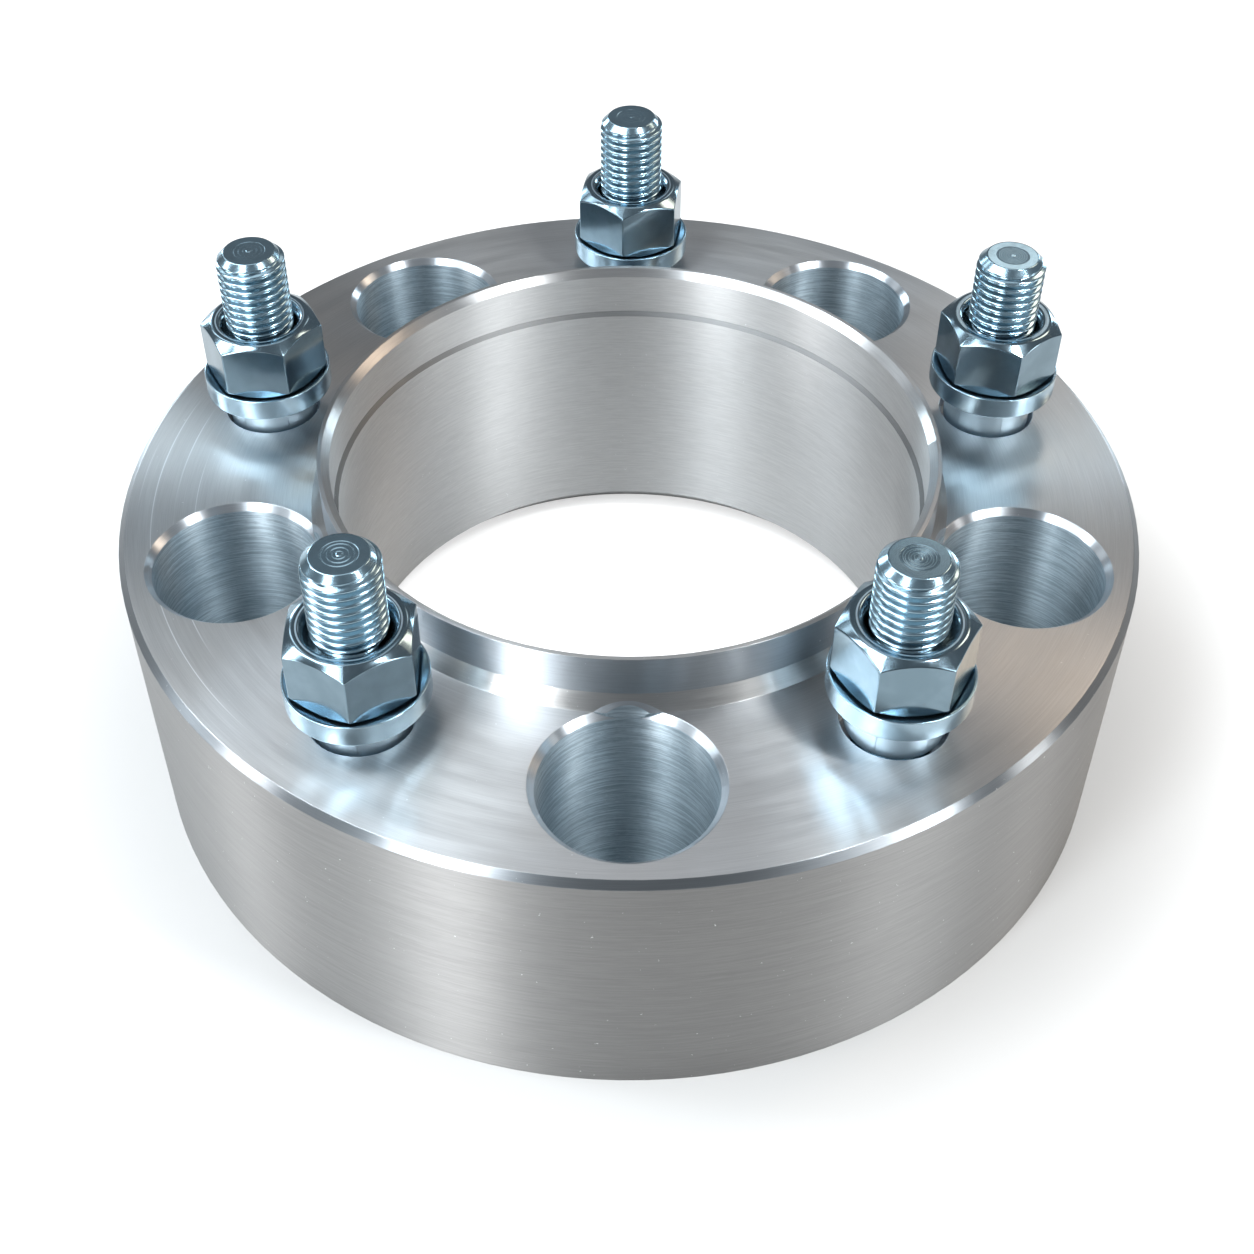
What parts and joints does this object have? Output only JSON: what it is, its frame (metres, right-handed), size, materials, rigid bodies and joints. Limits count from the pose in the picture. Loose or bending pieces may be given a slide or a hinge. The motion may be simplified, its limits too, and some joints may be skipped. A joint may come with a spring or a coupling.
{
  "type": "wheel spacer",
  "caption": "Thick turned wheel spacer with a hub lip, deep pockets for hub nuts, and pressed-in wheel studs carrying chamfered hex nuts on dished seat washers.",
  "frame": {"origin": "centre of the ring's flat back face, which meets the vehicle's hub", "axes": "+Z along the bore's axis towards the road wheel; one stud lies towards +Y and one pocket towards -Y, where the picture is taken from"},
  "size_m": [0.1778, 0.1778, 0.0843],
  "materials": {
    "ring_aluminium": "fine turned, bare",
    "stud_zinc": "bright zinc plate with a blue tint",
    "nut_zinc": "bright zinc plate with a blue tint",
    "washer_zinc": "bright zinc plate with a blue tint"
  },
  "bodies": {
    "root": {"spacer_ring": "ring_aluminium", "wheel_studs": "stud_zinc", "lug_nuts": "nut_zinc", "seat_washers": "washer_zinc"}
  },
  "joints": []
}
